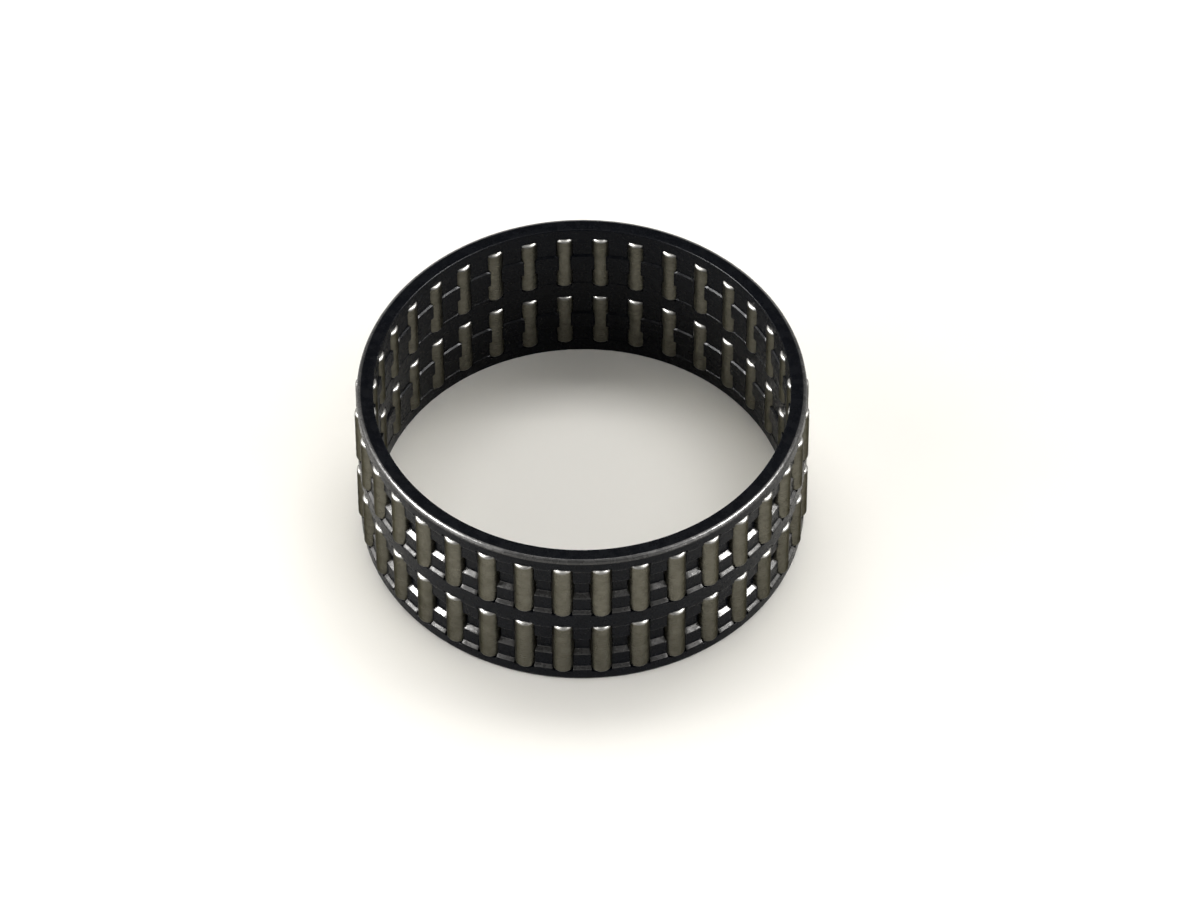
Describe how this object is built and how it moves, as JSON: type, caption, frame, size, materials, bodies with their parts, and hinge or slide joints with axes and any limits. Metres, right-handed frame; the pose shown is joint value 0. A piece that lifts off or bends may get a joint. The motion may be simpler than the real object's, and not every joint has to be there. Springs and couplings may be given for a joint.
{
  "type": "needle roller bearing",
  "caption": "Double-row needle roller and cage assembly: a blackened steel cage with two rows of free-turning needles that run between a shaft and a bore.",
  "frame": {"origin": "on the bearing axis, halfway between the two end faces of the cage", "axes": "+Z along the bearing axis; +X and +Y each pass midway between two needles"},
  "size_m": [0.0826, 0.0826, 0.034],
  "materials": {
    "blackened_steel": "black phosphated steel, oiled, satin",
    "needle_steel": "hardened bearing steel, ground, satin"
  },
  "bodies": {
    "cage": {"cage": "blackened_steel"},
    "needle_pair_01": {"needle_pair_01": "needle_steel"},
    "needle_pair_02": {"needle_pair_02": "needle_steel"},
    "needle_pair_03": {"needle_pair_03": "needle_steel"},
    "needle_pair_04": {"needle_pair_04": "needle_steel"},
    "needle_pair_05": {"needle_pair_05": "needle_steel"},
    "needle_pair_06": {"needle_pair_06": "needle_steel"},
    "needle_pair_07": {"needle_pair_07": "needle_steel"},
    "needle_pair_08": {"needle_pair_08": "needle_steel"},
    "needle_pair_09": {"needle_pair_09": "needle_steel"},
    "needle_pair_10": {"needle_pair_10": "needle_steel"},
    "needle_pair_11": {"needle_pair_11": "needle_steel"},
    "needle_pair_12": {"needle_pair_12": "needle_steel"},
    "needle_pair_13": {"needle_pair_13": "needle_steel"},
    "needle_pair_14": {"needle_pair_14": "needle_steel"},
    "needle_pair_15": {"needle_pair_15": "needle_steel"},
    "needle_pair_16": {"needle_pair_16": "needle_steel"},
    "needle_pair_17": {"needle_pair_17": "needle_steel"},
    "needle_pair_18": {"needle_pair_18": "needle_steel"},
    "needle_pair_19": {"needle_pair_19": "needle_steel"},
    "needle_pair_20": {"needle_pair_20": "needle_steel"},
    "needle_pair_21": {"needle_pair_21": "needle_steel"},
    "needle_pair_22": {"needle_pair_22": "needle_steel"},
    "needle_pair_23": {"needle_pair_23": "needle_steel"},
    "needle_pair_24": {"needle_pair_24": "needle_steel"},
    "needle_pair_25": {"needle_pair_25": "needle_steel"},
    "needle_pair_26": {"needle_pair_26": "needle_steel"},
    "needle_pair_27": {"needle_pair_27": "needle_steel"},
    "needle_pair_28": {"needle_pair_28": "needle_steel"},
    "needle_pair_29": {"needle_pair_29": "needle_steel"},
    "needle_pair_30": {"needle_pair_30": "needle_steel"},
    "needle_pair_31": {"needle_pair_31": "needle_steel"},
    "needle_pair_32": {"needle_pair_32": "needle_steel"},
    "needle_pair_33": {"needle_pair_33": "needle_steel"},
    "needle_pair_34": {"needle_pair_34": "needle_steel"},
    "needle_pair_35": {"needle_pair_35": "needle_steel"},
    "needle_pair_36": {"needle_pair_36": "needle_steel"}
  },
  "joints": [
    {"name": "needle_spin_01", "type": "hinge", "parent": "cage", "child": "needle_pair_01", "pos_m": [0.00344, -0.03935, 0], "axis": [0, 0, 1], "continuous": true},
    {"name": "needle_spin_02", "type": "hinge", "parent": "cage", "child": "needle_pair_02", "pos_m": [0.01022, -0.03815, 0], "axis": [0, 0, 1], "continuous": true},
    {"name": "needle_spin_03", "type": "hinge", "parent": "cage", "child": "needle_pair_03", "pos_m": [0.01669, -0.0358, 0], "axis": [0, 0, 1], "continuous": true},
    {"name": "needle_spin_04", "type": "hinge", "parent": "cage", "child": "needle_pair_04", "pos_m": [0.02266, -0.03236, 0], "axis": [0, 0, 1], "continuous": true},
    {"name": "needle_spin_05", "type": "hinge", "parent": "cage", "child": "needle_pair_05", "pos_m": [0.02793, -0.02793, 0], "axis": [0, 0, 1], "continuous": true},
    {"name": "needle_spin_06", "type": "hinge", "parent": "cage", "child": "needle_pair_06", "pos_m": [0.03236, -0.02266, 0], "axis": [0, 0, 1], "continuous": true},
    {"name": "needle_spin_07", "type": "hinge", "parent": "cage", "child": "needle_pair_07", "pos_m": [0.0358, -0.01669, 0], "axis": [0, 0, 1], "continuous": true},
    {"name": "needle_spin_08", "type": "hinge", "parent": "cage", "child": "needle_pair_08", "pos_m": [0.03815, -0.01022, 0], "axis": [0, 0, 1], "continuous": true},
    {"name": "needle_spin_09", "type": "hinge", "parent": "cage", "child": "needle_pair_09", "pos_m": [0.03935, -0.00344, 0], "axis": [0, 0, 1], "continuous": true},
    {"name": "needle_spin_10", "type": "hinge", "parent": "cage", "child": "needle_pair_10", "pos_m": [0.03935, 0.00344, 0], "axis": [0, 0, 1], "continuous": true},
    {"name": "needle_spin_11", "type": "hinge", "parent": "cage", "child": "needle_pair_11", "pos_m": [0.03815, 0.01022, 0], "axis": [0, 0, 1], "continuous": true},
    {"name": "needle_spin_12", "type": "hinge", "parent": "cage", "child": "needle_pair_12", "pos_m": [0.0358, 0.01669, 0], "axis": [0, 0, 1], "continuous": true},
    {"name": "needle_spin_13", "type": "hinge", "parent": "cage", "child": "needle_pair_13", "pos_m": [0.03236, 0.02266, 0], "axis": [0, 0, 1], "continuous": true},
    {"name": "needle_spin_14", "type": "hinge", "parent": "cage", "child": "needle_pair_14", "pos_m": [0.02793, 0.02793, 0], "axis": [0, 0, 1], "continuous": true},
    {"name": "needle_spin_15", "type": "hinge", "parent": "cage", "child": "needle_pair_15", "pos_m": [0.02266, 0.03236, 0], "axis": [0, 0, 1], "continuous": true},
    {"name": "needle_spin_16", "type": "hinge", "parent": "cage", "child": "needle_pair_16", "pos_m": [0.01669, 0.0358, 0], "axis": [0, 0, 1], "continuous": true},
    {"name": "needle_spin_17", "type": "hinge", "parent": "cage", "child": "needle_pair_17", "pos_m": [0.01022, 0.03815, 0], "axis": [0, 0, 1], "continuous": true},
    {"name": "needle_spin_18", "type": "hinge", "parent": "cage", "child": "needle_pair_18", "pos_m": [0.00344, 0.03935, 0], "axis": [0, 0, 1], "continuous": true},
    {"name": "needle_spin_19", "type": "hinge", "parent": "cage", "child": "needle_pair_19", "pos_m": [-0.00344, 0.03935, 0], "axis": [0, 0, 1], "continuous": true},
    {"name": "needle_spin_20", "type": "hinge", "parent": "cage", "child": "needle_pair_20", "pos_m": [-0.01022, 0.03815, 0], "axis": [0, 0, 1], "continuous": true},
    {"name": "needle_spin_21", "type": "hinge", "parent": "cage", "child": "needle_pair_21", "pos_m": [-0.01669, 0.0358, 0], "axis": [0, 0, 1], "continuous": true},
    {"name": "needle_spin_22", "type": "hinge", "parent": "cage", "child": "needle_pair_22", "pos_m": [-0.02266, 0.03236, 0], "axis": [0, 0, 1], "continuous": true},
    {"name": "needle_spin_23", "type": "hinge", "parent": "cage", "child": "needle_pair_23", "pos_m": [-0.02793, 0.02793, 0], "axis": [0, 0, 1], "continuous": true},
    {"name": "needle_spin_24", "type": "hinge", "parent": "cage", "child": "needle_pair_24", "pos_m": [-0.03236, 0.02266, 0], "axis": [0, 0, 1], "continuous": true},
    {"name": "needle_spin_25", "type": "hinge", "parent": "cage", "child": "needle_pair_25", "pos_m": [-0.0358, 0.01669, 0], "axis": [0, 0, 1], "continuous": true},
    {"name": "needle_spin_26", "type": "hinge", "parent": "cage", "child": "needle_pair_26", "pos_m": [-0.03815, 0.01022, 0], "axis": [0, 0, 1], "continuous": true},
    {"name": "needle_spin_27", "type": "hinge", "parent": "cage", "child": "needle_pair_27", "pos_m": [-0.03935, 0.00344, 0], "axis": [0, 0, 1], "continuous": true},
    {"name": "needle_spin_28", "type": "hinge", "parent": "cage", "child": "needle_pair_28", "pos_m": [-0.03935, -0.00344, 0], "axis": [0, 0, 1], "continuous": true},
    {"name": "needle_spin_29", "type": "hinge", "parent": "cage", "child": "needle_pair_29", "pos_m": [-0.03815, -0.01022, 0], "axis": [0, 0, 1], "continuous": true},
    {"name": "needle_spin_30", "type": "hinge", "parent": "cage", "child": "needle_pair_30", "pos_m": [-0.0358, -0.01669, 0], "axis": [0, 0, 1], "continuous": true},
    {"name": "needle_spin_31", "type": "hinge", "parent": "cage", "child": "needle_pair_31", "pos_m": [-0.03236, -0.02266, 0], "axis": [0, 0, 1], "continuous": true},
    {"name": "needle_spin_32", "type": "hinge", "parent": "cage", "child": "needle_pair_32", "pos_m": [-0.02793, -0.02793, 0], "axis": [0, 0, 1], "continuous": true},
    {"name": "needle_spin_33", "type": "hinge", "parent": "cage", "child": "needle_pair_33", "pos_m": [-0.02266, -0.03236, 0], "axis": [0, 0, 1], "continuous": true},
    {"name": "needle_spin_34", "type": "hinge", "parent": "cage", "child": "needle_pair_34", "pos_m": [-0.01669, -0.0358, 0], "axis": [0, 0, 1], "continuous": true},
    {"name": "needle_spin_35", "type": "hinge", "parent": "cage", "child": "needle_pair_35", "pos_m": [-0.01022, -0.03815, 0], "axis": [0, 0, 1], "continuous": true},
    {"name": "needle_spin_36", "type": "hinge", "parent": "cage", "child": "needle_pair_36", "pos_m": [-0.00344, -0.03935, 0], "axis": [0, 0, 1], "continuous": true}
  ]
}
